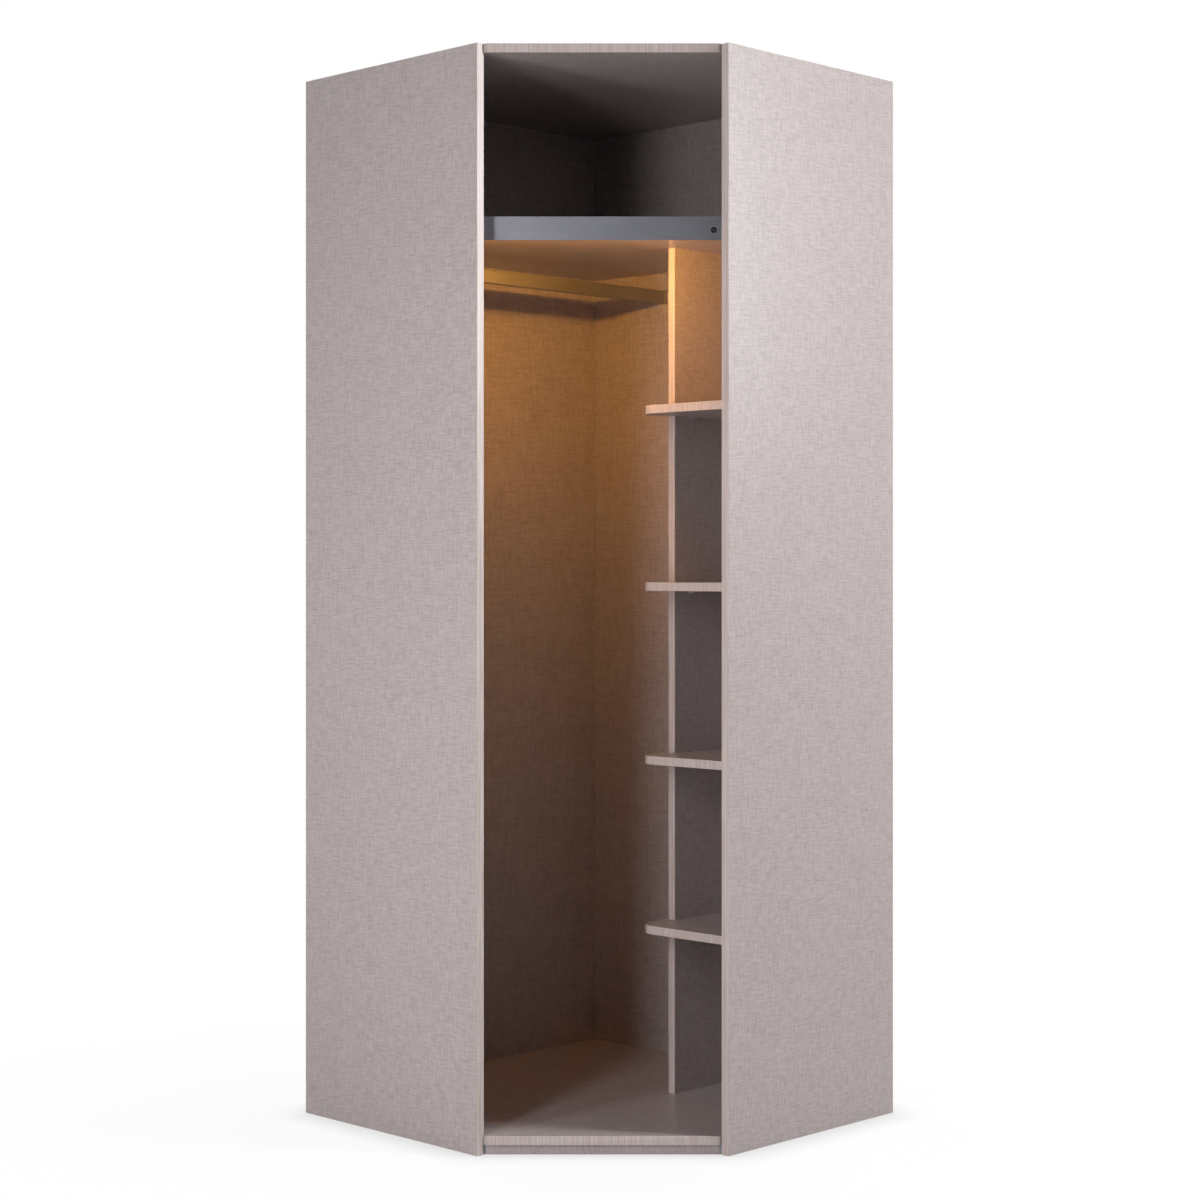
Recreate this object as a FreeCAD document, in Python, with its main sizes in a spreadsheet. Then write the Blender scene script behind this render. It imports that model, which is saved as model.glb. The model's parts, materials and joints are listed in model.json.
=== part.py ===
import FreeCAD, Part
import math
import os
import re
import Sketcher

# Corner wardrobe with a pentagon plan, in millimetres, +Z up.
# The room corner lies towards +X +Y, the diagonal front faces -X -Y, and the origin is at the
# bottom centre of the bounding box. On the diagonal front, p runs to the viewer's right, and q
# runs back into the wardrobe from the line that joins the two foremost corners.

SIZES = {
    # carcass
    "height": 2200,
    "wall_run": 886,
    "corner_cut": 351,
    "board": 18,
    "edging": 1,
    "front_recess": 8,
    "upper_space": 317,
    "column_width": 318,
    "divider_setback": 213,
    "wall_hole_radius": 3,
    "wall_hole_height": 40,
    "wall_hole_inset": 250,
    # plinth
    "plinth_height": 20,
    "plinth_recess": 16,
    "plinth_gap": 7.2,
    "block_overlap": 27,
    "block_length": 45,
    "block_depth": 18,
    "block_counterbore": 8,
    "block_counterbore_radius": 4.2,
    "block_edge": 10,
    "block_ear": 6.5,
    "block_ear_setback": 1,
    # shelves and their pins
    "shelf_setback": 113,
    "shelf_corner_radius": 45,
    "shelf_clearance": 0.5,
    "pin_radius": 2.5,
    "pin_depth": 9,
    "pin_tongue_length": 9,
    "pin_tongue_width": 8,
    "pin_tongue_height": 6,
    "pin_inset": 50,
    # hanging rail
    "rail_drop": 56,
    "rail_setback": 217,
    "rail_tall": 30,
    "rail_deep": 15,
    "rail_wall": 1.2,
    "rail_round": 3,
    "rail_end_gap": 0.3,
    "socket_plate": 3,
    "socket_flange": 33,
    "socket_rim": 1,
    "socket_wall": 2,
    "socket_depth": 14,
    "socket_clearance": 0.3,
    "socket_screw_spacing": 14,
    # fascia and lamp
    "fascia_recess": 60,
    "fascia_height": 47,
    "fascia_wall": 3,
    "fascia_flange": 24,
    "fascia_end_gap": 0.5,
    "lamp_lip": 6,
    "lamp_channel_height": 16,
    "lamp_channel_depth": 9,
    "lamp_wall": 1.2,
    "lamp_cap": 1.5,
    "lamp_strip_height": 10,
    "lamp_strip_thickness": 0.5,
    "lamp_chip_length": 5,
    "lamp_chip_height": 4,
    "lamp_chip_thickness": 1,
    "lamp_diffuser": 1.2,
    # switch
    "switch_offset": 223,
    "switch_height": 20,
    "switch_room": 22,
    "bezel_radius": 5.8,
    "bezel_proud": 1,
    "bezel_barrel_radius": 4.5,
    "bezel_barrel_length": 6,
    "button_radius": 2.9,
    "button_clearance": 0.2,
    "button_proud": 0.8,
    "button_length": 8,
    "button_travel": 1.2,
    "housing_width": 14,
    "housing_height": 12,
    "housing_depth": 14,
    # lamp driver on the upper shelf
    "driver_length": 150,
    "driver_width": 42,
    "driver_height": 22,
    "driver_base": 2,
    "driver_ear": 14,
    "driver_inset": 140,
    "driver_gap": 15,
    "inlet_width": 20,
    "inlet_height": 12,
    "inlet_depth": 10,
    # fittings
    "fit_clearance": 0.1,
    "cut_overrun": 1,
    "cam_radius": 7.5,
    "cam_depth": 12.5,
    "cam_setback": 34,
    "cam_recess_radius": 3,
    "cam_recess_depth": 4,
    "bolt_radius": 3,
    "thread_radius": 2.5,
    "thread_length": 11,
    "dowel_radius": 4,
    "dowel_length": 30,
    "dowel_wall_depth": 10,
    "dowel_pitch": 32,
    "fitting_inset": 60,
    "screw_radius": 1.75,
    "screw_length": 16,
    "screw_head_radius": 3.5,
    "screw_head_height": 2,
    "screw_recess_radius": 1.75,
    "screw_recess_depth": 1.4,
}

CHIP_COUNT = 16
HEXAGON_COUNT = 6
SHELF_SHARES = (0.1957, 0.393, 0.5948, 0.801)
JOINT_LEVEL_SHARES = (0.12, 0.38, 0.64, 0.9)
FASCIA_SCREW_SHARES = (-0.85, -0.3, 0.25, 0.6)
FASCIA_SEAT_SHARE = 0.7
DIVIDER_DOWEL_SHARES = (0.2, 0.5, 0.8)

# Places that follow from the driving sizes.
HALF = "(wall_run / 2)"
INNER = "(wall_run / 2 - board)"
FRONT = "(corner_cut - wall_run / 2)"
SIDE_DEPTH = "(wall_run - corner_cut)"
FLOOR = "(plinth_height + board)"
UPPER_UNDERSIDE = "(height - board * 2 - upper_space)"
UPPER_TOP = "(height - board - upper_space)"
COLUMN_RISE = f"({UPPER_UNDERSIDE} - {FLOOR})"
SHELF_LEVELS = [f"({FLOOR} + {COLUMN_RISE} * {share})" for share in SHELF_SHARES]
DIVIDER_RIGHT = f"(column_width - {INNER})"
DIVIDER_LEFT = f"({DIVIDER_RIGHT} + board)"
DIVIDER_FRONT = f"({FRONT} + divider_setback)"
DIVIDER_DEPTH = f"({INNER} - {DIVIDER_FRONT})"
RAIL_Y = f"({INNER} - rail_setback)"
RAIL_MIDDLE = f"({UPPER_UNDERSIDE} - rail_drop)"
FASCIA_LOW = f"({UPPER_TOP} - fascia_height)"
FASCIA_BACK = "(fascia_recess + fascia_wall)"
LAMP_LOW = f"({FASCIA_LOW} + lamp_lip)"
LAMP_HIGH = f"({LAMP_LOW} + lamp_channel_height)"
LAMP_BACK = f"({FASCIA_BACK} + lamp_channel_depth)"
LAMP_END = "(switch_offset - switch_room)"
SWITCH_Z = f"({FASCIA_LOW} + switch_height)"
BARREL_END = "(fascia_recess + bezel_barrel_length)"

LEFTWARD = (-1, 0, 0)
RIGHTWARD = (0, -1, 0)
BACK_LEFT = (0, 1, 0)
BACK_RIGHT = (1, 0, 0)
UP = (0, 0, 1)
DOWN = (0, 0, -1)
DIAGONAL = math.sqrt(0.5)
INWARD = (DIAGONAL, DIAGONAL, 0)
OUTWARD = (-DIAGONAL, -DIAGONAL, 0)
FRONT_TURN = FreeCAD.Rotation(FreeCAD.Vector(0, 0, 1), -45)

doc = FreeCAD.newDocument("corner_wardrobe")
sheet = doc.addObject("Spreadsheet::Sheet", "dims")
for row, (alias, size) in enumerate(SIZES.items(), 1):
    sheet.set(f"A{row}", alias)
    sheet.set(f"B{row}", str(size))
    sheet.setAlias(f"B{row}", alias)
doc.recompute()

nodes = []


def formula(text):
    """Expression text, with each size's name read from the sheet."""
    return re.sub(r"[a-z_]+", lambda word: f"dims.{word[0]}" if word[0] in SIZES else word[0], text)


def bind(item, **texts):
    """Tie properties of an object to expressions in the sizes' names."""
    for name, text in texts.items():
        item.setExpression(name, formula(text))
    return item


def place(item, x, y, z):
    """Tie an object's position to expressions."""
    for axis, text in zip("xyz", (x, y, z)):
        item.setExpression(f"Placement.Base.{axis}", formula(text))
    return item


def diagonal_point(p, q, z):
    """World place of a point given along and behind the diagonal front."""
    x = f"(({q}) + ({p})) / sqrt(2) - {SIDE_DEPTH} / 2"
    y = f"(({q}) - ({p})) / sqrt(2) - {SIDE_DEPTH} / 2"
    return x, y, z


def inner_reach(q):
    """Half the clear width between the side panels, q behind the foremost corners."""
    return f"(({q}) + corner_cut / sqrt(2) - board * sqrt(2))"


def step(at, axis, distance):
    """A point moved along an axis."""
    return tuple(f"({text}) + ({distance}) * ({share:.9f})" for text, share in zip(at, axis))


def mirrored(sign, near, far):
    """Limits of a piece on the left (-1) or right (1), lowest first."""
    return (f"({near}) * {sign}", f"({far}) * {sign}")[::sign]


def block(name, x, y, z):
    """A box between two limits along each axis."""
    item = doc.addObject("Part::Box", name)
    spans = [f"({high}) - ({low})" for low, high in (x, y, z)]
    bind(item, Length=spans[0], Width=spans[1], Height=spans[2])
    return place(item, x[0], y[0], z[0])


def diagonal_block(name, p, q, z):
    """A box turned to the diagonal front, between two limits along p, q and z."""
    item = doc.addObject("Part::Box", name)
    item.Placement = FreeCAD.Placement(FreeCAD.Vector(), FRONT_TURN)
    spans = [f"({high}) - ({low})" for low, high in (p, q, z)]
    bind(item, Length=spans[0], Width=spans[1], Height=spans[2])
    return place(item, *diagonal_point(p[0], q[0], z[0]))


def aim(item, at, axis):
    """Turn an upright object to an axis, with its foot at a point."""
    turn = FreeCAD.Rotation(FreeCAD.Vector(0, 0, 1), FreeCAD.Vector(*axis))
    item.Placement = FreeCAD.Placement(FreeCAD.Vector(), turn)
    return place(item, *at)


def rod(name, radius, length, at, axis):
    """A cylinder that starts at a point and runs along an axis."""
    item = doc.addObject("Part::Cylinder", name)
    return aim(bind(item, Radius=radius, Height=length), at, axis)


def hexagon(name, radius, length, at, axis):
    """A six-sided prism that starts at a point and runs along an axis."""
    item = doc.addObject("Part::Prism", name)
    item.Polygon = HEXAGON_COUNT
    return aim(bind(item, Circumradius=radius, Height=length), at, axis)


def outline_body(name, corners, thickness, z):
    """A board cut to an outline, whose corners are measured from the outer faces of the sides."""
    body = doc.addObject("PartDesign::Body", name)
    sketch = body.newObject("Sketcher::SketchObject", f"{name}_outline")
    plane = next(item for item in body.Origin.OriginFeatures if item.Role == "XY_Plane")
    sketch.AttachmentSupport = (plane, [""])
    sketch.MapMode = "FlatFace"
    count = len(corners)
    turns = [2 * math.pi * index / count for index in range(count)]
    starts = [FreeCAD.Vector(math.cos(turn), math.sin(turn), 0) for turn in turns]
    for index in range(count):
        sketch.addGeometry(Part.LineSegment(starts[index], starts[(index + 1) % count]), False)
    for index in range(count):
        sketch.addConstraint(Sketcher.Constraint("Coincident", index, 2, (index + 1) % count, 1))
    for index, corner in enumerate(corners):
        for kind, start, text in zip(("DistanceX", "DistanceY"), starts[index], corner):
            made = sketch.addConstraint(Sketcher.Constraint(kind, -1, 1, index, 1, start))
            sketch.setExpression(f"Constraints[{made}]", formula(text))
    pad = body.newObject("PartDesign::Pad", f"{name}_pad")
    pad.Profile = sketch
    bind(pad, Length=thickness)
    place(body, f"-{HALF}", f"-{HALF}", z)
    return body


def round_corner(body, rank, radius):
    """Round an upright edge: rank 0 is the one nearest the front left."""
    doc.recompute()
    last = body.Tip
    uprights = []
    for number, edge in enumerate(last.Shape.Edges, 1):
        first, second = edge.firstVertex().Point, edge.lastVertex().Point
        if math.hypot(first.x - second.x, first.y - second.y) < edge.Length / 2:
            uprights.append((first.x - first.y, f"Edge{number}"))
    fillet = body.newObject("PartDesign::Fillet", f"{body.Name}_round_{rank}")
    fillet.Base = (last, [sorted(uprights)[rank][1]])
    bind(fillet, Radius=radius)


def join(name, kind, items):
    """One object of several: a union, or a group of separate solids."""
    item = doc.addObject(kind, name)
    if kind == "Part::Compound":
        item.Links = items
    else:
        item.Shapes = items
    return item


def rounded_bar(name, x, y, z, radius):
    """A bar along X with rounded long edges, between two limits along each axis."""
    flat_y = (f"({y[0]}) + {radius}", f"({y[1]}) - {radius}")
    flat_z = (f"({z[0]}) + {radius}", f"({z[1]}) - {radius}")
    pieces = [block(f"{name}_wide", x, y, flat_z), block(f"{name}_tall", x, flat_y, z)]
    length = f"({x[1]}) - ({x[0]})"
    for side in flat_y:
        for level in flat_z:
            pieces.append(rod(f"{name}_edge_{len(pieces)}", radius, length, (x[0], side, level), BACK_RIGHT))
    bar = join(name, "Part::MultiFuse", pieces)
    bar.Refine = True
    return bar


def cut(name, base, cutters):
    """A base less one or more cutters."""
    item = doc.addObject("Part::Cut", name)
    item.Base = base
    item.Tool = cutters[0] if len(cutters) == 1 else join(f"{name}_cuts", "Part::MultiFuse", cutters)
    return item


def node(item, label):
    """Name an object as one of the wardrobe's pieces."""
    item.Label = label
    nodes.append(item)
    return item


def group(label, items):
    """Name a set of like solids as one of the wardrobe's pieces."""
    return node(join(label, "Part::Compound", items), label)


# Holes of each board, filled by the fittings below.
cuts = {
    name: []
    for name in (
        "left_side_panel",
        "right_side_panel",
        "left_back_panel",
        "right_back_panel",
        "top_panel",
        "bottom_panel",
        "upper_shelf",
        "divider_panel",
    )
}
cams = []
bolts = []
dowels = []


def fit_dowel(first, second, at, axis):
    """A dowel from the edge of one board into the face of another."""
    number = len(dowels)
    sunk = "(dowel_length - dowel_wall_depth)"
    dowels.append(rod(f"dowel_{number}", "dowel_radius", "dowel_length", step(at, axis, f"-{sunk}"), axis))
    hole = ("dowel_radius + fit_clearance", "dowel_length + fit_clearance * 2")
    start = step(at, axis, f"-{sunk} - fit_clearance")
    cuts[first].append(rod(f"dowel_{number}_edge_hole", *hole, start, axis))
    cuts[second].append(rod(f"dowel_{number}_face_hole", *hole, start, axis))


def fit_cam(first, second, at, axis, face):
    """A cam lock in one board, and its bolt into the face of another."""
    number = len(cams)
    mouth = step(step(at, axis, "-cam_setback"), face, "board / 2")
    sink = tuple(-share for share in face)
    body = rod(f"cam_{number}_body", "cam_radius", "cam_depth", mouth, sink)
    recess = hexagon(f"cam_{number}_recess", "cam_recess_radius", "cam_recess_depth", mouth, sink)
    cams.append(cut(f"cam_{number}", body, [recess]))
    shank = "(cam_setback - cam_radius - fit_clearance)"
    stem = rod(f"bolt_{number}_stem", "bolt_radius", shank, step(at, axis, f"-{shank}"), axis)
    thread = rod(f"bolt_{number}_thread", "thread_radius", "thread_length", at, axis)
    bolts.append(join(f"bolt_{number}", "Part::MultiFuse", [stem, thread]))
    pocket = ("cam_radius + fit_clearance", "cam_depth + fit_clearance")
    cuts[first].append(rod(f"cam_{number}_pocket", *pocket, mouth, sink))
    bore = ("bolt_radius + fit_clearance", "cam_setback")
    cuts[first].append(rod(f"cam_{number}_bore", *bore, step(at, axis, "-cam_setback"), axis))
    tapped = ("thread_radius + fit_clearance", "thread_length + fit_clearance")
    cuts[second].append(rod(f"cam_{number}_tapped", *tapped, at, axis))


def screw(name, at, axis):
    """A screw whose flat head bears on the surface at a point, with a hexagon socket in it."""
    head_at = step(at, axis, "-screw_head_height")
    head = rod(f"{name}_head", "screw_head_radius", "screw_head_height", head_at, axis)
    shank = rod(f"{name}_shank", "screw_radius", "screw_length", at, axis)
    recess = hexagon(f"{name}_recess", "screw_recess_radius", "screw_recess_depth", head_at, axis)
    return cut(name, join(f"{name}_solid", "Part::MultiFuse", [head, shank]), [recess])


def screw_hole(name, at, axis):
    """The clearance hole of a screw."""
    hole = ("screw_radius + fit_clearance", "screw_length + fit_clearance")
    return rod(name, *hole, at, axis)


def on_wall(axis, run, z):
    """A point on the inner face that an axis points at, some way along it."""
    reach = f"{INNER} * ({sum(axis)})"
    return (reach, run, z) if axis[0] else (run, reach, z)


# Cam locks, bolts and dowels round the three horizontal boards.
FAR = f"({INNER} - fitting_inset)"
flat_boards = (
    ("top_panel", "height - board / 2", "front_recess + edging", UP),
    ("bottom_panel", "plinth_height + board / 2", "front_recess + edging", DOWN),
    ("upper_shelf", f"{UPPER_UNDERSIDE} + board / 2", FASCIA_BACK, UP),
)
walls = (
    ("left_side_panel", LEFTWARD),
    ("right_side_panel", RIGHTWARD),
    ("left_back_panel", BACK_LEFT),
    ("right_back_panel", BACK_RIGHT),
)
for board_name, level, recess, hidden_face in flat_boards:
    front_end = f"({FRONT} - board + ({recess}) * sqrt(2))"
    for wall_name, axis in walls:
        near = f"({front_end} + fitting_inset)" if "side" in wall_name else f"(-{FAR})"
        for run, pitch in ((near, "dowel_pitch"), (FAR, "-dowel_pitch")):
            fit_cam(board_name, wall_name, on_wall(axis, run, level), axis, hidden_face)
            fit_dowel(board_name, wall_name, on_wall(axis, f"{run} + {pitch}", level), axis)

# Cam locks, bolts and dowels of the three upright joints, with the cams in the rear faces.
MIDDLE = f"({INNER} + board / 2)"
upright_joints = (
    ("left_back_panel", "left_side_panel", (f"-{INNER}", MIDDLE), LEFTWARD, BACK_LEFT),
    ("right_back_panel", "left_back_panel", (MIDDLE, INNER), BACK_LEFT, BACK_RIGHT),
    ("right_back_panel", "right_side_panel", (MIDDLE, f"-{INNER}"), RIGHTWARD, BACK_RIGHT),
)
for first, second, spot, axis, hidden_face in upright_joints:
    for share in JOINT_LEVEL_SHARES:
        fit_cam(first, second, (*spot, f"height * {share}"), axis, hidden_face)
        fit_dowel(first, second, (*spot, f"height * {share} + dowel_pitch"), axis)

# Dowels that hold the divider to the bottom panel, the upper shelf and the right back panel.
DIVIDER_MIDDLE = f"({DIVIDER_RIGHT} + board / 2)"
for share in DIVIDER_DOWEL_SHARES:
    run = f"{DIVIDER_FRONT} + {DIVIDER_DEPTH} * {share}"
    fit_dowel("divider_panel", "bottom_panel", (run, DIVIDER_MIDDLE, FLOOR), DOWN)
    fit_dowel("divider_panel", "upper_shelf", (run, DIVIDER_MIDDLE, UPPER_UNDERSIDE), UP)
    rise = f"{FLOOR} + {COLUMN_RISE} * {share}"
    fit_dowel("divider_panel", "right_back_panel", (INNER, DIVIDER_MIDDLE, rise), BACK_RIGHT)

# Shelf pins: a stem in the board and a flat tongue under the shelf.
pins = []
pin_boards = (
    ("right_side_panel", f"-{INNER}", RIGHTWARD, (f"-{INNER}", f"pin_tongue_length - {INNER}")),
    (
        "divider_panel",
        DIVIDER_RIGHT,
        BACK_LEFT,
        (f"{DIVIDER_RIGHT} - pin_tongue_length", DIVIDER_RIGHT),
    ),
)
for level in SHELF_LEVELS:
    for run in (f"({INNER} - pin_inset)", f"({DIVIDER_FRONT} + pin_inset)"):
        for board_name, face, axis, reach in pin_boards:
            number = len(pins)
            at = (run, face, f"{level} - pin_tongue_height / 2")
            stem = rod(f"pin_{number}_stem", "pin_radius", "pin_depth", at, axis)
            width = (f"{run} - pin_tongue_width / 2", f"{run} + pin_tongue_width / 2")
            rise = (f"{level} - pin_tongue_height", level)
            tongue = block(f"pin_{number}_tongue", width, reach, rise)
            pins.append(join(f"pin_{number}", "Part::MultiFuse", [stem, tongue]))
            hole = ("pin_radius + fit_clearance", "pin_depth + fit_clearance")
            cuts[board_name].append(rod(f"pin_{number}_hole", *hole, at, axis))
group("shelf_pins", pins)

# Hanging rail: a rounded rectangular tube on the plugs of two screwed flanges.
RAIL_LOW = f"({RAIL_MIDDLE} - rail_tall / 2)"
RAIL_HIGH = f"({RAIL_MIDDLE} + rail_tall / 2)"
BORE_LOW = f"({RAIL_LOW} + rail_wall)"
BORE_HIGH = f"({RAIL_HIGH} - rail_wall)"
bore_half = "(rail_deep / 2 - rail_wall)"
bore_round = "(rail_round - rail_wall)"
rail_reach = f"({INNER} - socket_plate - rail_end_gap)"
rail_outer = rounded_bar(
    "rail_outer",
    (f"-{rail_reach}", rail_reach),
    (f"{RAIL_Y} - rail_deep / 2", f"{RAIL_Y} + rail_deep / 2"),
    (RAIL_LOW, RAIL_HIGH),
    "rail_round",
)
rail_bore = rounded_bar(
    "rail_bore",
    (f"-{rail_reach} - cut_overrun", f"{rail_reach} + cut_overrun"),
    (f"{RAIL_Y} - {bore_half}", f"{RAIL_Y} + {bore_half}"),
    (BORE_LOW, BORE_HIGH),
    bore_round,
)
node(cut("rail_tube", rail_outer, [rail_bore]), "hanging_rail")

socket_screws = []
plug_half = f"({bore_half} - socket_clearance)"
plug_low = f"({BORE_LOW} + socket_clearance * 2)"
hollow_half = f"({plug_half} - socket_wall)"
socket_boards = (("left", LEFTWARD, "left_side_panel"), ("right", BACK_RIGHT, "right_back_panel"))
for side, axis, board_name in socket_boards:
    sign = sum(axis)
    mouth = f"({INNER} - socket_depth)"
    seat = f"({INNER} - socket_plate)"
    flange = block(
        f"{side}_socket_flange",
        mirrored(sign, seat, INNER),
        (f"{RAIL_Y} - socket_flange / 2", f"{RAIL_Y} + socket_flange / 2"),
        (f"{RAIL_LOW} - socket_rim", f"{RAIL_HIGH} + socket_rim"),
    )
    plug = rounded_bar(
        f"{side}_socket_plug",
        mirrored(sign, mouth, seat),
        (f"{RAIL_Y} - {plug_half}", f"{RAIL_Y} + {plug_half}"),
        (plug_low, BORE_HIGH),
        bore_round,
    )
    hollow = block(
        f"{side}_socket_hollow",
        mirrored(sign, f"{mouth} - cut_overrun", seat),
        (f"{RAIL_Y} - {hollow_half}", f"{RAIL_Y} + {hollow_half}"),
        (f"{plug_low} + socket_wall", f"{BORE_HIGH} - socket_wall"),
    )
    holes = []
    for number, offset in enumerate(("-socket_screw_spacing / 2", "socket_screw_spacing / 2")):
        at = (f"{seat} * {sign}", RAIL_Y, f"{RAIL_MIDDLE} + {offset}")
        socket_screws.append(screw(f"{side}_socket_screw_{number}", at, axis))
        holes.append(screw_hole(f"{side}_socket_hole_{number}", at, axis))
    cuts[board_name] += holes
    solid = join(f"{side}_socket_solid", "Part::MultiFuse", [flange, plug])
    node(cut(f"{side}_socket", solid, [hollow, *holes]), f"rail_socket_{side}")
group("rail_socket_screws", socket_screws)

# Plinth strip, and the corner blocks that screw it to the bottom panel, each with an ear past its end.
PLINTH_BACK = "(plinth_recess + board)"
BLOCK_BACK = f"({PLINTH_BACK} + block_depth)"
plinth_rise = ("0", "plinth_height")
plinth_reach = f"({inner_reach('plinth_recess')} - plinth_gap)"
plinth_span = (f"-{plinth_reach}", plinth_reach)
plinth_board = diagonal_block("plinth_board", plinth_span, ("plinth_recess", PLINTH_BACK), plinth_rise)
plinth_holes = []
blocks = []
block_screws = []
for side, sign in (("left", -1), ("right", 1)):
    near = f"({plinth_reach} - block_overlap)"
    far = f"({near} + block_length)"
    reach = mirrored(sign, near, far)
    bare = diagonal_block(f"{side}_block_bare", reach, (PLINTH_BACK, BLOCK_BACK), plinth_rise)
    ear_reach = mirrored(sign, f"{plinth_reach} + fit_clearance", f"{plinth_reach} + block_ear")
    ear_depth = ("plinth_recess + block_ear_setback", PLINTH_BACK)
    ear = diagonal_block(f"{side}_block_ear", ear_reach, ear_depth, plinth_rise)
    eared = join(f"{side}_block_eared", "Part::MultiFuse", [bare, ear])
    middle = f"{PLINTH_BACK} + block_depth / 2"
    level = "plinth_height / 2"
    up_mouth = diagonal_point(f"({far} - block_edge) * {sign}", middle, "0")
    out_mouth = diagonal_point(f"({near} + block_edge) * {sign}", BLOCK_BACK, level)
    bores = []
    for way, mouth, axis in (("up", up_mouth, UP), ("out", out_mouth, OUTWARD)):
        seat = step(mouth, axis, "block_counterbore")
        counterbore = ("block_counterbore_radius", "block_counterbore")
        bores.append(rod(f"{side}_{way}_bore", *counterbore, mouth, axis))
        bores.append(screw_hole(f"{side}_{way}_hole", seat, axis))
        block_screws.append(screw(f"{side}_{way}_screw", seat, axis))
        (cuts["bottom_panel"] if way == "up" else plinth_holes).append(bores[-1])
    blocks.append(cut(f"{side}_block", eared, bores))
node(cut("plinth_drilled", plinth_board, plinth_holes), "plinth_strip")
group("plinth_corner_blocks", blocks)
group("corner_block_screws", block_screws)

# Fascia: a deep lip in front of the upper shelf, with a flange that is screwed up into the shelf.
fascia_reach = f"({inner_reach('fascia_recess')} - fascia_end_gap)"
fascia_span = (f"-{fascia_reach}", fascia_reach)
web = diagonal_block("fascia_web", fascia_span, ("fascia_recess", FASCIA_BACK), (FASCIA_LOW, UPPER_TOP))
flange = diagonal_block(
    "fascia_flange_strip",
    fascia_span,
    (FASCIA_BACK, f"{FASCIA_BACK} + fascia_flange"),
    (f"{UPPER_UNDERSIDE} - fascia_wall", UPPER_UNDERSIDE),
)
profile = join("fascia_profile", "Part::MultiFuse", [web, flange])
fascia_screws = []
fascia_cuts = []
for number, share in enumerate(FASCIA_SCREW_SHARES):
    seat_q = f"{FASCIA_BACK} + fascia_flange * {FASCIA_SEAT_SHARE}"
    at = diagonal_point(f"{fascia_reach} * ({share})", seat_q, f"{UPPER_UNDERSIDE} - fascia_wall")
    fascia_screws.append(screw(f"fascia_screw_{number}", at, UP))
    fascia_cuts.append(screw_hole(f"fascia_hole_{number}", at, UP))
cuts["upper_shelf"] += fascia_cuts
switch_face = diagonal_point("switch_offset", "fascia_recess", SWITCH_Z)
switch_hole = rod("switch_hole", "bezel_barrel_radius + fit_clearance", "fascia_wall", switch_face, INWARD)
node(cut("fascia_drilled", profile, [*fascia_cuts, switch_hole]), "shelf_fascia")
group("fascia_screws", fascia_screws)

# Lamp behind the lip: a channel that faces the room corner, its strip, chips, diffuser and caps.
lamp_span = (f"-{fascia_reach} + lamp_cap", f"{LAMP_END} - lamp_cap")
lamp_rise = (LAMP_LOW, LAMP_HIGH)
groove_rise = (f"{LAMP_LOW} + lamp_wall", f"{LAMP_HIGH} - lamp_wall")
groove_floor = f"({FASCIA_BACK} + lamp_wall)"
lamp_middle = f"({LAMP_LOW} + lamp_channel_height / 2)"
channel = diagonal_block("channel_outer", lamp_span, (FASCIA_BACK, LAMP_BACK), lamp_rise)
groove_span = (f"{lamp_span[0]} - cut_overrun", f"{lamp_span[1]} + cut_overrun")
groove_depth = (groove_floor, f"{LAMP_BACK} + cut_overrun")
groove = diagonal_block("channel_groove", groove_span, groove_depth, groove_rise)
node(cut("channel_profile", channel, [groove]), "lamp_channel")
strip_back = f"({groove_floor} + lamp_strip_thickness)"
strip_rise = (f"{lamp_middle} - lamp_strip_height / 2", f"{lamp_middle} + lamp_strip_height / 2")
node(diagonal_block("strip", lamp_span, (groove_floor, strip_back), strip_rise), "lamp_circuit_strip")
chips = []
chip_rise = (f"{lamp_middle} - lamp_chip_height / 2", f"{lamp_middle} + lamp_chip_height / 2")
for number in range(CHIP_COUNT):
    share = (number + 0.5) / CHIP_COUNT
    centre = f"({lamp_span[0]} + (({lamp_span[1]}) - ({lamp_span[0]})) * {share})"
    width = (f"{centre} - lamp_chip_length / 2", f"{centre} + lamp_chip_length / 2")
    depth = (strip_back, f"{strip_back} + lamp_chip_thickness")
    chips.append(diagonal_block(f"chip_{number}", width, depth, chip_rise))
group("lamp_chips", chips)
diffuser_depth = (f"{LAMP_BACK} - lamp_diffuser", LAMP_BACK)
node(diagonal_block("diffuser", lamp_span, diffuser_depth, groove_rise), "lamp_diffuser")
cap_spans = ((f"-{fascia_reach}", lamp_span[0]), (lamp_span[1], LAMP_END))
caps = [
    diagonal_block(f"lamp_cap_{number}", span, (FASCIA_BACK, LAMP_BACK), lamp_rise)
    for number, span in enumerate(cap_spans)
]
group("lamp_end_caps", caps)

# Switch in the fascia: a bezel ring, a button that is pressed in, and the housing behind.
bezel_front = step(switch_face, INWARD, "-bezel_proud")
rim = rod("bezel_rim", "bezel_radius", "bezel_proud", bezel_front, INWARD)
barrel = rod("bezel_barrel", "bezel_barrel_radius", "bezel_barrel_length", switch_face, INWARD)
bezel_solid = join("bezel_solid", "Part::MultiFuse", [rim, barrel])
button_bore_radius = "button_radius + button_clearance"
bore_length = "bezel_proud + bezel_barrel_length"
bezel_bore = rod("bezel_bore", button_bore_radius, bore_length, bezel_front, INWARD)
node(cut("bezel", bezel_solid, [bezel_bore]), "switch_bezel")
button_front = step(bezel_front, INWARD, "-button_proud")
node(rod("button", "button_radius", "button_length", button_front, INWARD), "switch_button")
housing = diagonal_block(
    "housing_block",
    ("switch_offset - housing_width / 2", "switch_offset + housing_width / 2"),
    (BARREL_END, f"{BARREL_END} + housing_depth"),
    (f"{SWITCH_Z} - housing_height / 2", f"{SWITCH_Z} + housing_height / 2"),
)
housing_mouth = diagonal_point("switch_offset", BARREL_END, SWITCH_Z)
well_depth = "button_length + button_travel"
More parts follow.
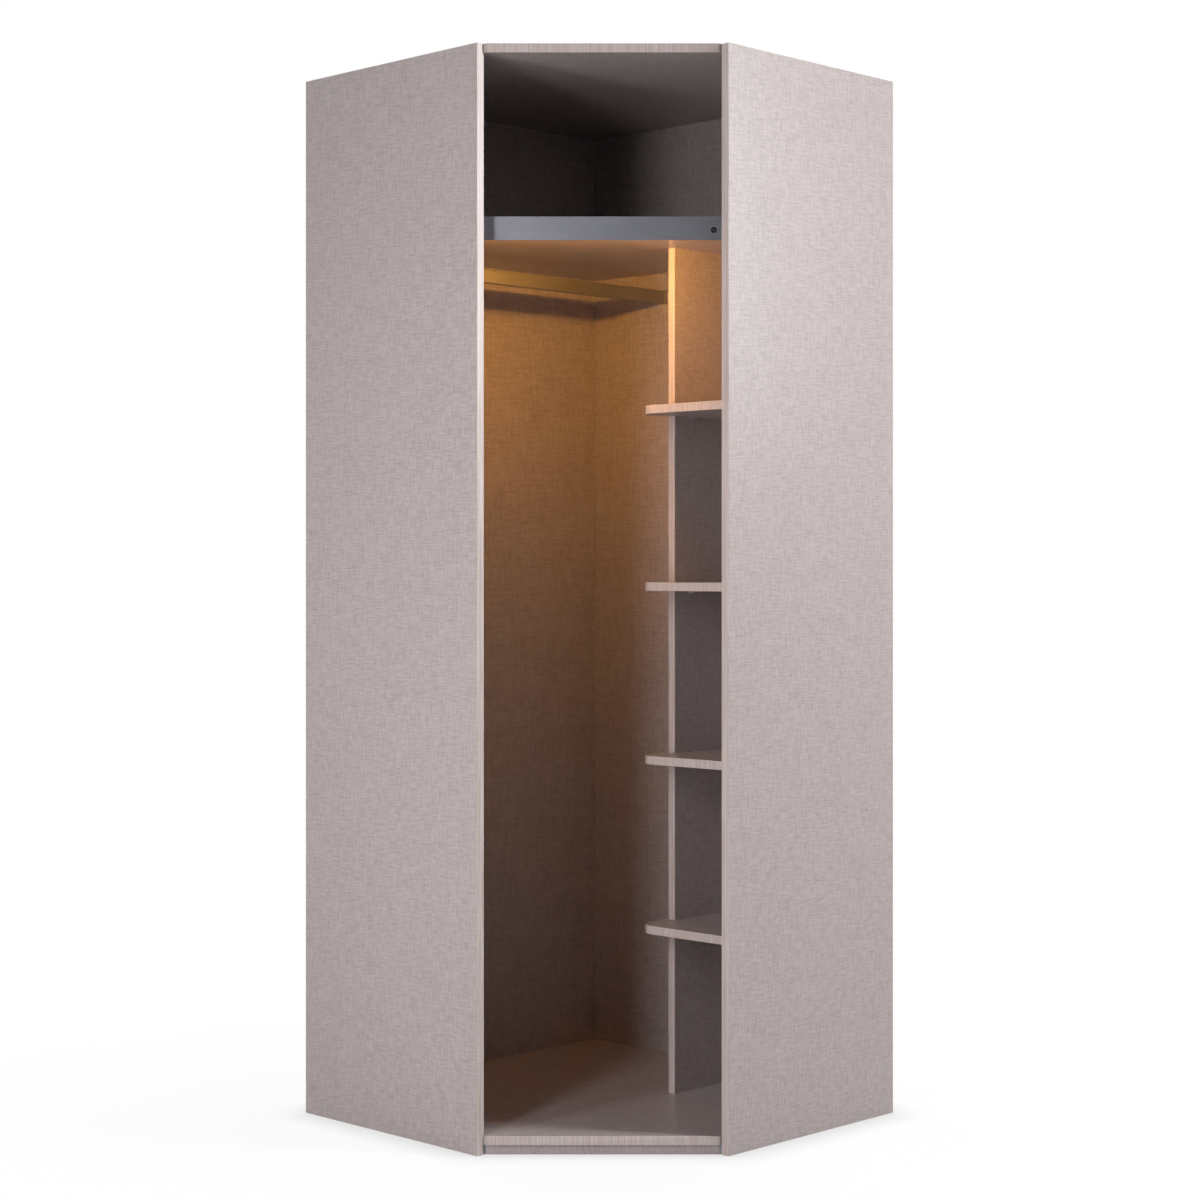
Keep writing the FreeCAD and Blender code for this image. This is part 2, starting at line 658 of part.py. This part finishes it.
well = rod("housing_well", button_bore_radius, well_depth, housing_mouth, INWARD)
node(cut("housing", housing, [well]), "switch_housing")

# Lamp driver at the back of the upper shelf: a screwed base, and a case with a socket for its lead.
DRIVER_X = f"(driver_inset - {INNER})"
DRIVER_Y = f"({INNER} - driver_gap - driver_width)"
DRIVER_TOP = f"({UPPER_TOP} + driver_base + driver_height)"
driver_y = (DRIVER_Y, f"{DRIVER_Y} + driver_width")
base_x = (f"{DRIVER_X} - driver_ear", f"{DRIVER_X} + driver_length + driver_ear")
base = block("driver_base_plate", base_x, driver_y, (UPPER_TOP, f"{UPPER_TOP} + driver_base"))
driver_screws = []
driver_holes = []
ear_places = (f"{DRIVER_X} - driver_ear / 2", f"{DRIVER_X} + driver_length + driver_ear / 2")
for number, run in enumerate(ear_places):
    at = (run, f"{DRIVER_Y} + driver_width / 2", f"{UPPER_TOP} + driver_base")
    driver_screws.append(screw(f"driver_screw_{number}", at, DOWN))
    driver_holes.append(screw_hole(f"driver_hole_{number}", at, DOWN))
cuts["upper_shelf"] += driver_holes
node(cut("driver_base_drilled", base, driver_holes), "driver_base")
group("driver_screws", driver_screws)
case_x = (DRIVER_X, f"{DRIVER_X} + driver_length")
case = block("driver_case_block", case_x, driver_y, (f"{UPPER_TOP} + driver_base", DRIVER_TOP))
inlet_y = f"({DRIVER_Y} + driver_width / 2)"
inlet_z = f"({DRIVER_TOP} - driver_height / 2)"
inlet = block(
    "driver_inlet",
    (DRIVER_X, f"{DRIVER_X} + inlet_depth"),
    (f"{inlet_y} - inlet_width / 2", f"{inlet_y} + inlet_width / 2"),
    (f"{inlet_z} - inlet_height / 2", f"{inlet_z} + inlet_height / 2"),
)
node(cut("driver_case_cut", case, [inlet]), "driver_case")

group("cam_locks", cams)
group("cam_bolts", bolts)
group("dowels", dowels)

# Holes through which the back panels are screwed to the walls, above the upper shelf.
HOLE_RUN = f"(wall_hole_inset - {INNER})"
HOLE_LEVEL = f"{UPPER_TOP} + wall_hole_height"
cuts["left_back_panel"].append(
    rod("left_wall_hole", "wall_hole_radius", "board", (HOLE_RUN, INNER, HOLE_LEVEL), BACK_LEFT)
)
cuts["right_back_panel"].append(
    rod("right_wall_hole", "wall_hole_radius", "board", (INNER, HOLE_RUN, HOLE_LEVEL), BACK_RIGHT)
)


def pentagon(recess):
    """Corners of a board that fills the plan behind a front edge set back by a recess."""
    front = f"(corner_cut - board + ({recess}) * sqrt(2))"
    back = "wall_run - board"
    return [("board", front), (front, "board"), (back, "board"), (back, back), ("board", back)]


# Boards.
full_rise = ("0", "height")
side_thickness = (f"-{HALF}", f"-{INNER}")
back_thickness = (INNER, HALF)
side_run = (f"{FRONT} + edging", HALF)
front_outline = pentagon("front_recess + edging")
boards = {
    "left_side_panel": block("left_side_board", side_thickness, side_run, full_rise),
    "right_side_panel": block("right_side_board", side_run, side_thickness, full_rise),
    "left_back_panel": block("left_back_board", (f"-{INNER}", HALF), back_thickness, full_rise),
    "right_back_panel": block("right_back_board", back_thickness, (f"-{INNER}", INNER), full_rise),
    "divider_panel": block(
        "divider_board",
        (f"{DIVIDER_FRONT} + edging", INNER),
        (DIVIDER_RIGHT, DIVIDER_LEFT),
        (FLOOR, UPPER_UNDERSIDE),
    ),
    "top_panel": outline_body("top_board", front_outline, "board", "height - board"),
    "bottom_panel": outline_body("bottom_board", front_outline, "board", "plinth_height"),
    "upper_shelf": outline_body("upper_board", pentagon(FASCIA_BACK), "board", UPPER_UNDERSIDE),
}
for board_name, board in boards.items():
    node(cut(f"{board_name}_drilled", board, cuts[board_name]), board_name)

# Edging strips on the front edges of the fixed boards.
edging_run = (FRONT, f"{FRONT} + edging")
node(block("left_edging", side_thickness, edging_run, full_rise), "left_side_edging")
node(block("right_edging", edging_run, side_thickness, full_rise), "right_side_edging")
divider_rise = (FLOOR, UPPER_UNDERSIDE)
divider_edge = (DIVIDER_FRONT, f"{DIVIDER_FRONT} + edging")
node(block("divider_strip", divider_edge, (DIVIDER_RIGHT, DIVIDER_LEFT), divider_rise), "divider_edging")
front_reach = inner_reach("front_recess")
front_span = (f"-{front_reach}", front_reach)
front_depth = ("front_recess", "front_recess + edging")
top_rise = ("height - board", "height")
bottom_rise = ("plinth_height", FLOOR)
node(diagonal_block("top_strip", front_span, front_depth, top_rise), "top_panel_edging")
node(diagonal_block("bottom_strip", front_span, front_depth, bottom_rise), "bottom_panel_edging")

# Loose shelves, notched round the divider, and their edging strips.
SHELF_FRONT = "(corner_cut + shelf_setback)"
SHELF_BACK = "(wall_run - board - shelf_clearance)"
SHELF_RIGHT = "(board + shelf_clearance)"
SHELF_LEFT = "(board * 2 + column_width)"
NOTCH_SIDE = "(board + column_width - shelf_clearance)"
NOTCH_FRONT = "(corner_cut + divider_setback - shelf_clearance)"
CORE_FRONT = f"({SHELF_FRONT} + edging)"
CORE_LEFT = f"({SHELF_LEFT} - edging)"
core_corners = [
    (CORE_FRONT, SHELF_RIGHT),
    (SHELF_BACK, SHELF_RIGHT),
    (SHELF_BACK, NOTCH_SIDE),
    (NOTCH_FRONT, NOTCH_SIDE),
    (NOTCH_FRONT, CORE_LEFT),
    (CORE_FRONT, CORE_LEFT),
]
strip_corners = [
    (SHELF_FRONT, SHELF_RIGHT),
    (CORE_FRONT, SHELF_RIGHT),
    (CORE_FRONT, CORE_LEFT),
    (NOTCH_FRONT, CORE_LEFT),
    (NOTCH_FRONT, SHELF_LEFT),
    (SHELF_FRONT, SHELF_LEFT),
]
for number, level in enumerate(SHELF_LEVELS, 1):
    core = outline_body(f"shelf_core_{number}", core_corners, "board", level)
    round_corner(core, 0, "shelf_corner_radius - edging")
    node(core, f"shelf_{number}")
    strip = outline_body(f"shelf_strip_{number}", strip_corners, "board", level)
    round_corner(strip, 1, "shelf_corner_radius - edging")
    round_corner(strip, 0, "shelf_corner_radius")
    node(strip, f"shelf_{number}_edging")

doc.recompute()
for item in doc.Objects:
    if "Invalid" in item.State or "Error" in item.State:
        raise RuntimeError(f"{item.Label} did not compute: {item.State}")
for item in nodes:
    if item.Shape.isNull() or not item.Shape.isValid():
        raise RuntimeError(f"{item.Label} has no valid shape")

os.makedirs("parts", exist_ok=True)
for item in nodes:
    item.Shape.exportStep(f"parts/{item.Label}.step")
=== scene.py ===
import json
import math

import bpy
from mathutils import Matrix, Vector

# Looks of the corner wardrobe, in metres, in the frame of its CAD model.
# On the diagonal front, p runs to the viewer's right, and q runs back from the foremost corners.

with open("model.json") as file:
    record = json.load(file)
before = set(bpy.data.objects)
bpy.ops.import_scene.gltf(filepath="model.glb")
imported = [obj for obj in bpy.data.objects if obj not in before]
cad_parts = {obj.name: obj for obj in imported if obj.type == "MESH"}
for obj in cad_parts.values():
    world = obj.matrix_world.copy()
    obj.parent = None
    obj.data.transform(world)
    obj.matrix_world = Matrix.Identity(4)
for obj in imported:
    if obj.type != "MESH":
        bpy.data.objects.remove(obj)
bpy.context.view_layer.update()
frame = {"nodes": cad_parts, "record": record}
nodes = frame["nodes"]
record = frame["record"]

SIDE_DEPTH = 0.535  # of the side panels, whose front corners carry the diagonal front

# Camera, fitted to the photograph's edges. It looks level, along the diagonal.
IMAGE_SIDE = 1200
FOCAL_PIXELS = 2370.74
AXIS_PIXEL = (556.58, 569.64)
SENSOR = 36.0
CAMERA_PLACE = (-0.0914, -4.6817, 1.1587)
CAMERA_DEGREES = (90.0, 0.0, -45.0)

# Places of the colours among the sockets of a Mix node.
MIX_FIRST, MIX_SECOND, MIX_RESULT = 6, 7, 2

# Melamine board: the scales of its threads across and along their run, and their tints.
MELAMINE = {"Roughness": 0.34, "Specular IOR Level": 0.5}
LINEN = (0.44, 0.378, 0.371)
LINEN_CONTRAST = 0.13
LINEN_SPAN = 0.2
SLUBS = (300.0, 45.0)
FINE_THREADS = (540.0, 28.0)
BANDS = (28.0, 5.0)
BAND_SHARE = 0.08
WARM = (1.015, 0.995, 0.985)
COOL = (0.99, 1.0, 1.012)
HALVES = (0.5, 0.5, 0.5)

# Edging: its upright threads.
EDGING = (0.55, 0.474, 0.463)
EDGING_CONTRAST = 0.11
EDGE_THREADS = (330.0, 330.0, 7.0)
EDGE_LIMITS = (0.35, 0.65)
BROWN = (1.0, 0.93, 0.88)

# Noise: its detail, the limits between which it runs from dark to light, and its spreads.
THREAD_DETAIL = 0.0
PLAIN_DETAIL = 2.0
GRAIN_DETAIL = 3.0
GRAIN_LIMITS = (0.3, 0.7)
METAL_SPREAD = 0.07
METAL_ROUGH_SPREAD = 0.06
GRAIN_ROUGH_SPREAD = 0.08

# Bumps: strength and depth.
LINEN_BUMP = (0.15, 0.0004)
EDGE_BUMP = (0.12, 0.0003)
METAL_BUMP = (0.05, 0.0002)
GRAIN_BUMP = (0.08, 0.0001)

# Brushed metals: colour, roughness and the scales of the hairlines along each axis.
SATIN_METALS = {
    "rail_metal": ((0.4, 0.375, 0.335), 0.64, (6.0, 900.0, 900.0)),
    "grey_metal": ((0.36, 0.36, 0.415), 0.42, (30.0, 30.0, 1600.0)),
}

# Grained surfaces: colour, roughness, scale of the grain, spread of its tone and metallic share.
GRAINED = {
    "zinc_steel": ((0.6, 0.6, 0.6), 0.35, 700.0, 0.1, 1.0),
    "cam_zinc": ((0.5, 0.5, 0.5), 0.45, 500.0, 0.12, 1.0),
    "grey_plastic": ((0.33, 0.36, 0.41), 0.5, 900.0, 0.05, 0.0),
    "black_plastic": ((0.012, 0.012, 0.013), 0.26, 900.0, 0.1, 0.0),
    "dark_plastic": ((0.06, 0.06, 0.065), 0.4, 900.0, 0.1, 0.0),
    "white_plastic": ((0.8, 0.8, 0.78), 0.45, 800.0, 0.03, 0.0),
    "beech": ((0.6, 0.42, 0.25), 0.6, 300.0, 0.12, 0.0),
}
CARD_FINISH = ((0.05, 0.05, 0.05), 0.9, 40.0, 0.1, 0.0)

# Frosted plastic of the lamp.
GLOW = (0.95, 0.85, 0.65)
GLOW_INPUTS = {"Roughness": 0.5, "Emission Strength": 3.0}
FROST_SCALE = 900.0
FROST_SHADE = 0.94

# Broken edges: their widths by finish, and how they are found and made.
SOFT_EDGES = {"linen_board": 0.0006, "linen_edging": 0.0004, "rail_metal": 0.0003}
WELD_REACH = 0.00001
BEVEL_SEGMENTS = 2
BEVEL_DEGREES = 40.0

# Lamps: place and aim as (p, q, z), width and height, watts and colour.
WHITE = (1.0, 1.0, 1.0)
COOL_WHITE = (0.99, 1.0, 0.995)
AMBER = (1.0, 0.46, 0.06)
REAR_AIM = (0.0, 0.6, 1.1)
REAR_SIZE = (1.6, 1.8)
LAMPS = {
    "right_box": ((3.4, -0.65, 2.75), (0.9, -2.3, 1.6), (0.75, 2.2), 180.0, COOL_WHITE),
    "front_box": ((-1.17, -2.05, 1.6), (-0.2355, 0.0127, 1.2), (0.4, 2.4), 28.5, WHITE),
    "left_box": ((-1.68, -1.475, 0.95), (-0.2355, 0.0127, 1.0), (0.25, 1.9), 19.0, WHITE),
    "strip_lamp": ((-0.0405, 0.0735, 1.8215), (-0.0405, 0.9, 1.81), (0.483, 0.003), 3.75, AMBER),
    "rear_left_box": ((-2.3, 2.6, 1.2), REAR_AIM, REAR_SIZE, 70.0, WHITE),
    "rear_right_box": ((2.3, 2.6, 1.2), REAR_AIM, REAR_SIZE, 70.0, WHITE),
    "top_box": ((0.0, 0.6, 4.6), (0.0, 0.6, 2.2), (1.2, 1.2), 34.0, WHITE),
}

# World: the fill that lights, and the white that is seen.
SEEN_WHITE = (1.0, 1.0, 1.0, 1.0)
SEEN_STRENGTH = 1.0
AMBIENT = 0.015

# Floor: what it sends back, what is seen, how much of its real shadows shows near the wardrobe, and
# its painted contact shadow.
FLOOR_SIDE = 14.0
FLOOR_DROP = 0.0005
FLOOR_BOUNCE = (0.45, 0.45, 0.45, 1.0)
FLOOR_WHITE = (0.9, 0.9, 0.9, 1.0)
SHADOW_SHARE = 0.1
SHADOW_NEAR = 0.7
SHADOW_FAR = 1.8
# Painted contact shadow: ambient occlusion darkens the seen white near the wardrobe's base, down to
# the level below.
CONTACT_REACH = 0.09
PAINTED_SHADOW_LEVEL = 0.78
CONTACT_COVER = 0.5
CONTACT_SAMPLES = 16

# Dark card, upright in front of the wardrobe: its place along q, its reach along p and its heights.
CARD_PLACE = -3.2
CARD_REACH = (-3.0, 3.0)
CARD_HEIGHTS = (0.3, 5.2)


def front_point(p, q, z):
    """World place of a point given along and behind the diagonal front."""
    x = (q + p) / math.sqrt(2) - SIDE_DEPTH / 2
    y = (q - p) / math.sqrt(2) - SIDE_DEPTH / 2
    return Vector((x, y, z))


def add(tree, kind, inputs=None, **settings):
    """A shader node with its settings, and its inputs set or linked."""
    item = tree.nodes.new(kind)
    for name, value in settings.items():
        setattr(item, name, value)
    for name, value in (inputs or {}).items():
        if isinstance(value, bpy.types.NodeSocket):
            tree.links.new(value, item.inputs[name])
        else:
            item.inputs[name].default_value = value
    return item


def number(tree, operation, *values):
    """A sum on numbers."""
    return add(tree, "ShaderNodeMath", dict(enumerate(values)), operation=operation).outputs[0]


def vector(tree, operation, first, second):
    """A sum on two vectors that gives a third."""
    return add(tree, "ShaderNodeVectorMath", {0: first, 1: second}, operation=operation).outputs[0]


def new_material(name, inputs):
    """A node material, its tree and its main shader with constant inputs."""
    material = bpy.data.materials.new(name)
    material.use_nodes = True
    shader = material.node_tree.nodes["Principled BSDF"]
    for key, value in inputs.items():
        shader.inputs[key].default_value = value
    return material, material.node_tree, shader


def noise(tree, place, scales, detail):
    """Noise stretched by its scale along each axis."""
    inputs = {"Vector": vector(tree, "MULTIPLY", place, scales), "Scale": 1.0, "Detail": detail}
    return add(tree, "ShaderNodeTexNoise", inputs).outputs["Fac"]


def object_noise(tree, scales, detail):
    """Noise that stays with the piece."""
    spot = add(tree, "ShaderNodeTexCoord")
    return noise(tree, spot.outputs["Object"], scales, detail)


def threads(tree, across, along):
    """Threads along the axes that lie in the surface, as the mean of their noises."""
    spot = add(tree, "ShaderNodeTexCoord").outputs
    scales = [[along if axis == run else across for axis in range(3)] for run in range(3)]
    sets = [noise(tree, spot["Object"], triple, THREAD_DETAIL) for triple in scales]
    packed = add(tree, "ShaderNodeCombineXYZ", dict(enumerate(sets)))
    squares = vector(tree, "MULTIPLY", spot["Normal"], spot["Normal"])
    weights = vector(tree, "SUBTRACT", HALVES, vector(tree, "MULTIPLY", squares, HALVES))
    both = {0: packed.outputs[0], 1: weights}
    return add(tree, "ShaderNodeVectorMath", both, operation="DOT_PRODUCT").outputs["Value"]


def shade(colour, share):
    """A colour made lighter or darker."""
    return tuple(min(1.0, part * share) for part in colour)


def tint(colour, shares):
    """A colour with its three parts scaled apart."""
    return tuple(min(1.0, part * share) for part, share in zip(colour, shares))


def paint(tree, shader, value, limits, dark, light):
    """Base colour between two others, by a value between two limits."""
    low, high = limits
    share = add(tree, "ShaderNodeMapRange", {"Value": value, "From Min": low, "From Max": high})
    ends = {"Factor": share.outputs[0], MIX_FIRST: (*dark, 1.0), MIX_SECOND: (*light, 1.0)}
    tone = add(tree, "ShaderNodeMix", ends, data_type="RGBA").outputs[MIX_RESULT]
    tree.links.new(tone, shader.inputs["Base Color"])
    return tone


def roughen(tree, shader, value, middle, spread):
    """Roughness that follows a value."""
    ends = {"Value": value, "To Min": middle - spread, "To Max": middle + spread}
    rough = add(tree, "ShaderNodeMapRange", ends)
    tree.links.new(rough.outputs[0], shader.inputs["Roughness"])


def emboss(tree, shader, height, strength, depth):
    """A fine bump that follows a height."""
    bump = add(tree, "ShaderNodeBump", {"Height": height, "Strength": strength, "Distance": depth})
    tree.links.new(bump.outputs[0], shader.inputs["Normal"])


def linen(name, colour, contrast):
    """Linen-weave melamine: slubbed threads both ways over finer ones, in faint bands."""
    material, tree, shader = new_material(name, MELAMINE)
    slubs, fine, bands = [threads(tree, *scales) for scales in (SLUBS, FINE_THREADS, BANDS)]
    pair = number(tree, "ADD", slubs, fine)
    weave = number(tree, "MULTIPLY_ADD", bands, BAND_SHARE, pair)
    middle = 1.0 + BAND_SHARE / 2
    limits = (middle - LINEN_SPAN, middle + LINEN_SPAN)
    dark = tint(shade(colour, 1 - contrast), WARM)
    light = tint(shade(colour, 1 + contrast), COOL)
    paint(tree, shader, weave, limits, dark, light)
    emboss(tree, shader, pair, *LINEN_BUMP)
    return material


def edge_band(name, colour, contrast):
    """Plastic edging printed with upright threads, the darker ones browner."""
    material, tree, shader = new_material(name, MELAMINE)
    print_threads = object_noise(tree, EDGE_THREADS, PLAIN_DETAIL)
    dark = tint(shade(colour, 1 - contrast), BROWN)
    paint(tree, shader, print_threads, EDGE_LIMITS, dark, shade(colour, 1 + contrast))
    emboss(tree, shader, print_threads, *EDGE_BUMP)
    return material


def satin_metal(name, colour, roughness, scales):
    """Brushed and anodised metal, with hairlines drawn out along an axis."""
    material, tree, shader = new_material(name, {"Metallic": 1.0})
    lines = object_noise(tree, scales, GRAIN_DETAIL)
    dark, light = shade(colour, 1 - METAL_SPREAD), shade(colour, 1 + METAL_SPREAD)
    paint(tree, shader, lines, GRAIN_LIMITS, dark, light)
    roughen(tree, shader, lines, roughness, METAL_ROUGH_SPREAD)
    emboss(tree, shader, lines, *METAL_BUMP)
    return material


def grained(name, colour, roughness, scale, spread, metallic):
    """A moulded, cast, plated or wooden surface with a fine even grain."""
    material, tree, shader = new_material(name, {"Metallic": metallic})
    grain = object_noise(tree, [scale] * 3, GRAIN_DETAIL)
    paint(tree, shader, grain, GRAIN_LIMITS, shade(colour, 1 - spread), shade(colour, 1 + spread))
    roughen(tree, shader, grain, roughness, GRAIN_ROUGH_SPREAD)
    emboss(tree, shader, grain, *GRAIN_BUMP)
    return material


def glow(name, colour):
    """Frosted plastic lit from behind."""
    material, tree, shader = new_material(name, GLOW_INPUTS)
    frost = object_noise(tree, [FROST_SCALE] * 3, PLAIN_DETAIL)
    tone = paint(tree, shader, frost, GRAIN_LIMITS, shade(colour, FROST_SHADE), colour)
    tree.links.new(tone, shader.inputs["Emission Color"])
    return material


def make_finishes():
    """One material for each slot of the record."""
    finishes = {
        "linen_board": linen("linen_board", LINEN, LINEN_CONTRAST),
        "linen_edging": edge_band("linen_edging", EDGING, EDGING_CONTRAST),
        "lamp_glow": glow("lamp_glow", GLOW),
    }
    for name, look in SATIN_METALS.items():
        finishes[name] = satin_metal(name, *look)
    for name, look in GRAINED.items():
        finishes[name] = grained(name, *look)
    return finishes


def soften(item, width):
    """Break the sharp edges of a CAD node without touching its mesh."""
    weld = item.modifiers.new("weld", "WELD")
    weld.merge_threshold = WELD_REACH
    bevel = item.modifiers.new("soft_edges", "BEVEL")
    bevel.width = width
    bevel.segments = BEVEL_SEGMENTS
    bevel.limit_method = "ANGLE"
    bevel.angle_limit = math.radians(BEVEL_DEGREES)
    bevel.harden_normals = True


def dress_nodes():
    """Give every CAD node the material of its slot, and soft edges where they show."""
    finishes = make_finishes()
    for part in record["subparts"]:
        item, slot = nodes[part["node"]], part["material_slot"]
        item.data.materials.clear()
        item.data.materials.append(finishes[slot])
        if slot in SOFT_EDGES:
            soften(item, SOFT_EDGES[slot])


def seen_share(tree):
    """1 for rays of the camera, of reflections and of clear pieces, and 0 for those that light."""
    path = add(tree, "ShaderNodeLightPath").outputs
    either = number(tree, "MAXIMUM", path["Is Camera Ray"], path["Is Glossy Ray"])
    return number(tree, "MAXIMUM", either, path["Is Transmission Ray"])


def set_world():
    """White where it is seen, and a plain fill where it lights."""
    world = bpy.data.worlds.new("studio")
    bpy.context.scene.world = world
    world.use_nodes = True
    tree = world.node_tree
    tree.nodes.clear()
    fill = add(tree, "ShaderNodeBackground", {"Color": SEEN_WHITE, "Strength": AMBIENT})
    white = add(tree, "ShaderNodeBackground", {"Color": SEEN_WHITE, "Strength": SEEN_STRENGTH})
    both = {0: seen_share(tree), 1: fill.outputs[0], 2: white.outputs[0]}
    mix = add(tree, "ShaderNodeMixShader", both)
    add(tree, "ShaderNodeOutputWorld", {"Surface": mix.outputs[0]})


def stage_plane(name, corners, material):
    """A flat four-cornered piece for the stage."""
    mesh = bpy.data.meshes.new(name)
    mesh.from_pydata(corners, [], [(0, 1, 2, 3)])
    mesh.materials.append(material)
    plane = bpy.data.objects.new(name, mesh)
    bpy.context.scene.collection.objects.link(plane)
    return plane


def white_share(tree):
    """How much of the floor is plain white: all of it far off, and less near the wardrobe."""
    spot = add(tree, "ShaderNodeNewGeometry").outputs["Position"]
    reach = add(tree, "ShaderNodeVectorMath", {0: spot}, operation="LENGTH").outputs["Value"]
    near = {"Value": reach, "From Min": SHADOW_NEAR, "From Max": SHADOW_FAR}
    share = {**near, "To Min": 1 - SHADOW_SHARE, "To Max": 1.0}
    return add(tree, "ShaderNodeMapRange", share).outputs[0]


def painted_contact_shadow(tree):
    """White emission with a painted contact shadow: ambient occlusion darkens it a little where the
    wardrobe meets the floor.
    """
    sky = {"Distance": CONTACT_REACH}
    open_sky = add(tree, "ShaderNodeAmbientOcclusion", sky, samples=CONTACT_SAMPLES).outputs["AO"]
    cover = {"Value": open_sky, "From Min": CONTACT_COVER, "From Max": 1.0}
    level = add(tree, "ShaderNodeMapRange", {**cover, "To Min": PAINTED_SHADOW_LEVEL, "To Max": 1.0})
    return add(tree, "ShaderNodeEmission", {"Color": SEEN_WHITE, "Strength": level.outputs[0]})


def floor_material():
    """Pale where it lights, and white where it is seen, with a faint real shadow from its lit share
    and a painted contact shadow.
    """
    material = bpy.data.materials.new("studio_floor")
    material.use_nodes = True
    tree = material.node_tree
    tree.nodes.clear()
    seen = seen_share(tree)
    share = number(tree, "MULTIPLY", white_share(tree), seen)
    tones = {"Factor": seen, MIX_FIRST: FLOOR_BOUNCE, MIX_SECOND: FLOOR_WHITE}
    tone = add(tree, "ShaderNodeMix", tones, data_type="RGBA").outputs[MIX_RESULT]
    lit = add(tree, "ShaderNodeBsdfDiffuse", {"Color": tone})
    # The seen share is white emission carrying the painted contact shadow; the lit share is
    # diffuse, with real shadows.
    both = {0: share, 1: lit.outputs[0], 2: painted_contact_shadow(tree).outputs[0]}
    mix = add(tree, "ShaderNodeMixShader", both)
    add(tree, "ShaderNodeOutputMaterial", {"Surface": mix.outputs[0]})
    return material


def make_floor():
    """The floor, just under the wardrobe."""
    half = FLOOR_SIDE / 2
    sides = [(-half, -half), (half, -half), (half, half), (-half, half)]
    corners = [(x, y, -FLOOR_DROP) for x, y in sides]
    floor = stage_plane("studio_floor", corners, floor_material())


def make_card():
    """A dark card that the camera doesn't see, for the fascia and the front edges to mirror."""
    (left, right), (low, high) = CARD_REACH, CARD_HEIGHTS
    sides = [(left, low), (right, low), (right, high), (left, high)]
    corners = [front_point(p, CARD_PLACE, z) for p, z in sides]
    card = stage_plane("dark_card", corners, grained("dark_card", *CARD_FINISH))
    card.visible_camera = False


def set_lamps():
    """Soft boxes round the wardrobe, and the warm strip behind the fascia's lip."""
    for name, (place, aim, size, watts, colour) in LAMPS.items():
        lamp = bpy.data.lights.new(name, "AREA")
        lamp.shape = "RECTANGLE"
        lamp.size, lamp.size_y = size
        lamp.energy = watts
        lamp.color = colour
        item = bpy.data.objects.new(name, lamp)
        bpy.context.scene.collection.objects.link(item)
        item.location = front_point(*place)
        turn = front_point(*aim) - front_point(*place)
        item.rotation_euler = turn.to_track_quat("-Z", "Y").to_euler()
        item.visible_camera = False


def set_camera():
    """The photograph's view, with the picture's frame shifted."""
    lens = bpy.data.cameras.new("photo_camera")
    lens.sensor_width = SENSOR
    lens.lens = SENSOR * FOCAL_PIXELS / IMAGE_SIDE
    lens.shift_x = (IMAGE_SIDE / 2 - AXIS_PIXEL[0]) / IMAGE_SIDE
    lens.shift_y = (AXIS_PIXEL[1] - IMAGE_SIDE / 2) / IMAGE_SIDE
    camera = bpy.data.objects.new("photo_camera", lens)
    bpy.context.scene.collection.objects.link(camera)
    camera.location = front_point(*CAMERA_PLACE)
    camera.rotation_euler = [math.radians(angle) for angle in CAMERA_DEGREES]
    bpy.context.scene.camera = camera


dress_nodes()
set_world()
make_floor()
make_card()
set_lamps()
set_camera()
bpy.context.scene.view_settings.view_transform = "Standard"
